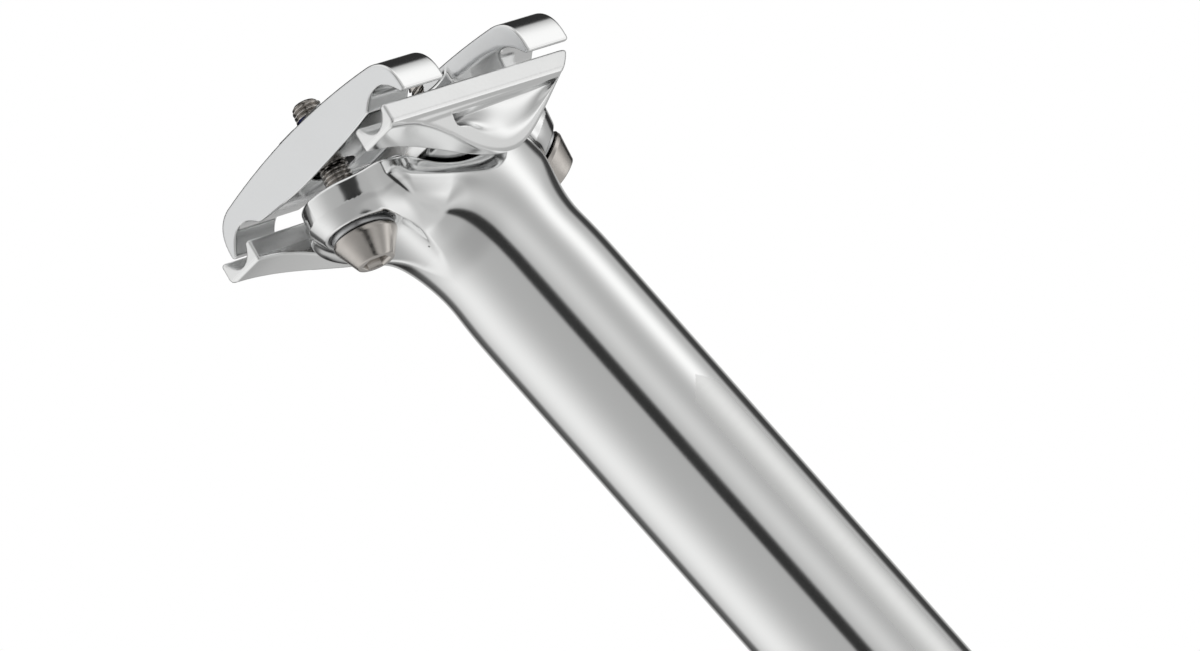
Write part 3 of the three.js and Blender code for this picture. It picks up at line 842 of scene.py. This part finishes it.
def bolt_steel(line):
    """Warm grey steel with fine turning marks about the bolt's own axis."""
    material, nodes = new_material("bolt_steel_" + ("rear" if line is REAR else "front"))
    place = nodes.add("ShaderNodeTexCoord").outputs["Object"]
    height = nodes.math("SUBTRACT", nodes.dot(place, tuple(line.up)), line.ball.dot(line.up) * MM)
    marks = nodes.add("ShaderNodeTexNoise", {"W": nodes.math("MULTIPLY", height, 9000.0), "Detail": 2.0},
                      noise_dimensions="1D").outputs["Fac"]
    haze = nodes.noise(place, 300.0, 3.0)
    rough = nodes.math("ADD", 0.09, nodes.math("MULTIPLY", haze, 0.12))
    colour = nodes.mix(haze, (0.52, 0.49, 0.46, 1), (0.64, 0.61, 0.58, 1))
    metal(nodes, colour, rough, nodes.bump(marks, 0.004 * MM))
    return material


def plated_steel():
    material, nodes = new_material("plated_steel")
    place = nodes.add("ShaderNodeTexCoord").outputs["Object"]
    haze = nodes.noise(place, 400.0, 4.0)
    fine = nodes.noise(place, 3000.0, 2.0)
    rough = nodes.math("ADD", 0.24, nodes.math("MULTIPLY", haze, 0.14))
    colour = nodes.mix(haze, (0.60, 0.61, 0.62, 1), (0.72, 0.73, 0.74, 1))
    metal(nodes, colour, rough, nodes.bump(fine, 0.006 * MM))
    return material


def thread_nylon():
    material, nodes = new_material("thread_nylon")
    place = nodes.add("ShaderNodeTexCoord").outputs["Object"]
    blotch = nodes.noise(place, 1500.0, 3.0)
    colour = nodes.mix(blotch, (0.010, 0.020, 0.20, 1), (0.03, 0.07, 0.45, 1))
    normal = nodes.bump(blotch, 0.08 * MM, 0.6)
    finish(nodes, {"Base Color": colour, "Roughness": 0.42, "Normal": normal})
    return material


# ---- studio -----------------------------------------------------------------------------------

VIEW_AZIMUTH = math.radians(44.66)
VIEW_ELEVATION = math.radians(-0.91)
VIEW_ROLL = math.radians(41.49)
VIEW_DISTANCE = 1.0
VIEW_LENS = 183.3
AIM_RIGHT = 0.02979
AIM_UP = -0.02865

# Upright soft boxes and black flags round the object, as a mirror facing the camera sees them:
# (azimuth from the camera, half width, hardness of the edges, added light, stops overhead).
STUDIO_BASE = 0.47
STUDIO_PANELS = (
    (-93, 34, 2, 0.43, False),
    (-24, 26, 4, -0.02, False),
    (33, 15, 2, 0.20, False),
    (93, 17, 2, 0.60, True),
    (4.5, 9.0, 8, -0.45, False),
)
# Steeply above and below, the panels give way to a plain ceiling and ground.
LID_LEVEL = 0.72
LID_SLOPE = 0.12
# A black ring round the point straight behind the object draws a thin dark line along the edges.
RING_ANGLE = math.radians(36)
RING_HALF_WIDTH = math.radians(14)
RING_HARDNESS = 6
RING_DARKNESS = 0.42
# A black canopy behind and above shows on the hooks, and a grey skirt below on the wings.
CANOPY_DARKNESS = 0.45
SKIRT_DARKNESS = 0.08
DARKEST = 0.03
TINT = (1.0, 0.998, 0.99)
FLOOR_RADIUS = 1.3
FLOOR_GAP = 0.5 * MM
LAMP_PLACE = Vector((0.6, -1.0, 1.5))
LAMP_SIZE = 2.0
LAMP_POWER = 7


def studio_panels(nodes, turn, z):
    """The level round the horizon, where turn is the azimuth from the camera and z the height."""
    level = STUDIO_BASE
    low = nodes.step(z, 0.75, 0.45)
    for azimuth, half_width, hardness, light, stops_overhead in STUDIO_PANELS:
        gap = nodes.math("SUBTRACT", turn, math.radians(azimuth))
        shape = nodes.hump(gap, math.radians(half_width), hardness)
        if stops_overhead:
            shape = nodes.math("MULTIPLY", shape, low)
        level = nodes.math("ADD", level, nodes.math("MULTIPLY", shape, light))
    return level


def studio_world():
    """A grey room with the panels in it, seen only in reflections: the camera itself sees white."""
    world = bpy.data.worlds.new("studio")
    bpy.context.scene.world = world
    world.use_nodes = True
    nodes = Nodes(world.node_tree)
    ray = nodes.add("ShaderNodeTexCoord").outputs["Generated"]
    x, y, z = nodes.add("ShaderNodeSeparateXYZ", {0: ray}).outputs
    # Direction back to the camera is (sin a, -cos a); the angle grows towards the camera's right.
    sine, cosine = math.sin(VIEW_AZIMUTH), math.cos(VIEW_AZIMUTH)
    ahead = nodes.math("SUBTRACT", nodes.math("MULTIPLY", x, sine), nodes.math("MULTIPLY", y, cosine))
    aside = nodes.math("ADD", nodes.math("MULTIPLY", x, cosine), nodes.math("MULTIPLY", y, sine))
    turn = nodes.math("ARCTAN2", aside, ahead)
    behind = nodes.math("ARCCOSINE", nodes.math("MULTIPLY", ahead, -1.0))
    level = studio_panels(nodes, turn, z)
    steep = nodes.math("ADD", nodes.step(z, 0.72, 0.95), nodes.step(z, -0.90, -0.99))
    lid = nodes.math("ADD", LID_LEVEL, nodes.math("MULTIPLY", z, LID_SLOPE))
    upright = nodes.math("MULTIPLY", level, nodes.math("SUBTRACT", 1.0, steep))
    level = nodes.math("ADD", upright, nodes.math("MULTIPLY", lid, steep))
    ring = nodes.hump(nodes.math("SUBTRACT", behind, RING_ANGLE), RING_HALF_WIDTH, RING_HARDNESS)
    ring = nodes.math("MULTIPLY", ring, nodes.step(z, -0.45, -0.25))
    canopy = nodes.math("MULTIPLY", nodes.step(z, 0.16, 0.30), nodes.step(ahead, -0.38, -0.48))
    skirt = nodes.math("MULTIPLY", nodes.step(z, -0.10, -0.30), nodes.step(z, -0.62, -0.40))
    for flag, darkness in ((ring, RING_DARKNESS), (canopy, CANOPY_DARKNESS), (skirt, SKIRT_DARKNESS)):
        level = nodes.math("SUBTRACT", level, nodes.math("MULTIPLY", flag, darkness))
    level = nodes.math("MAXIMUM", level, DARKEST)
    tinted = {i: nodes.math("MULTIPLY", level, share) for i, share in enumerate(TINT)}
    colour = nodes.add("ShaderNodeCombineColor", tinted).outputs[0]
    seen = nodes.add("ShaderNodeLightPath").outputs["Is Camera Ray"]
    background = nodes.add("ShaderNodeBackground", {"Color": nodes.mix(seen, colour, (1, 1, 1, 1))})
    nodes.add("ShaderNodeOutputWorld", {"Surface": background.outputs[0]})


def studio_floor():
    """A pale paper disc under the tube, left out of reflections so that the panels show instead."""
    material, nodes = new_material("floor_paper")
    place = nodes.add("ShaderNodeTexCoord").outputs["Object"]
    tone = nodes.mix(nodes.noise(place, 8.0), (0.86, 0.86, 0.85, 1), (0.90, 0.90, 0.89, 1))
    finish(nodes, {"Base Color": tone, "Roughness": 0.8})
    mesh = bpy.data.meshes.new("floor")
    level = TUBE_BOTTOM * MM - FLOOR_GAP
    rim = [(FLOOR_RADIUS * math.cos(turn), FLOOR_RADIUS * math.sin(turn), level) for turn in TURNS]
    mesh.from_pydata(rim, [], [tuple(range(AROUND))])
    floor = link("floor", mesh)
    floor.data.materials.append(material)
    floor.visible_glossy = False


def studio_light():
    lamp = bpy.data.lights.new("soft_key", "AREA")
    lamp.shape = "DISK"
    lamp.size = LAMP_SIZE
    lamp.energy = LAMP_POWER
    holder = bpy.data.objects.new("soft_key", lamp)
    bpy.context.scene.collection.objects.link(holder)
    holder.visible_glossy = False
    holder.location = LAMP_PLACE
    holder.rotation_euler = (-LAMP_PLACE).to_track_quat("-Z", "Y").to_euler()


def studio_camera():
    turn = Matrix.Rotation(VIEW_AZIMUTH, 4, "Z") @ Matrix.Rotation(math.pi / 2 - VIEW_ELEVATION, 4, "X")
    turn = turn @ Matrix.Rotation(-VIEW_ROLL, 4, "Z")
    data = bpy.data.cameras.new("camera")
    data.lens = VIEW_LENS
    data.clip_start = 0.05
    camera = bpy.data.objects.new("camera", data)
    bpy.context.scene.collection.objects.link(camera)
    camera.matrix_world = turn @ Matrix.Translation((AIM_RIGHT, AIM_UP, VIEW_DISTANCE))
    bpy.context.scene.camera = camera


# ---- assembly ---------------------------------------------------------------------------------

def show(piece, body, node, material):
    piece.data.materials.append(material)
    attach(piece, body)
    if node:
        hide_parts(node)


def build():
    show(build_post(), "post", "post", post_aluminium())
    show(build_cradle(), "cradle", "lower_cradle", cradle_aluminium())
    show(build_upper_clamp(), "clamp", "upper_clamp", clamp_aluminium())
    plate = plated_steel()
    for end, line in (("rear", REAR), ("front", FRONT)):
        show(build_bolt(end, line), end + "_bolt", end + "_bolt", bolt_steel(line))
        show(build_washer(end, line), end + "_washer", end + "_ball_washer", plate)
        show(build_nut(end, line), end + "_nut", end + "_barrel_nut", plate)
    show(build_thread_patch(REAR), "rear_bolt", None, thread_nylon())


build()
studio_world()
studio_floor()
studio_light()
studio_camera()
bpy.context.scene.view_settings.view_transform = "Standard"
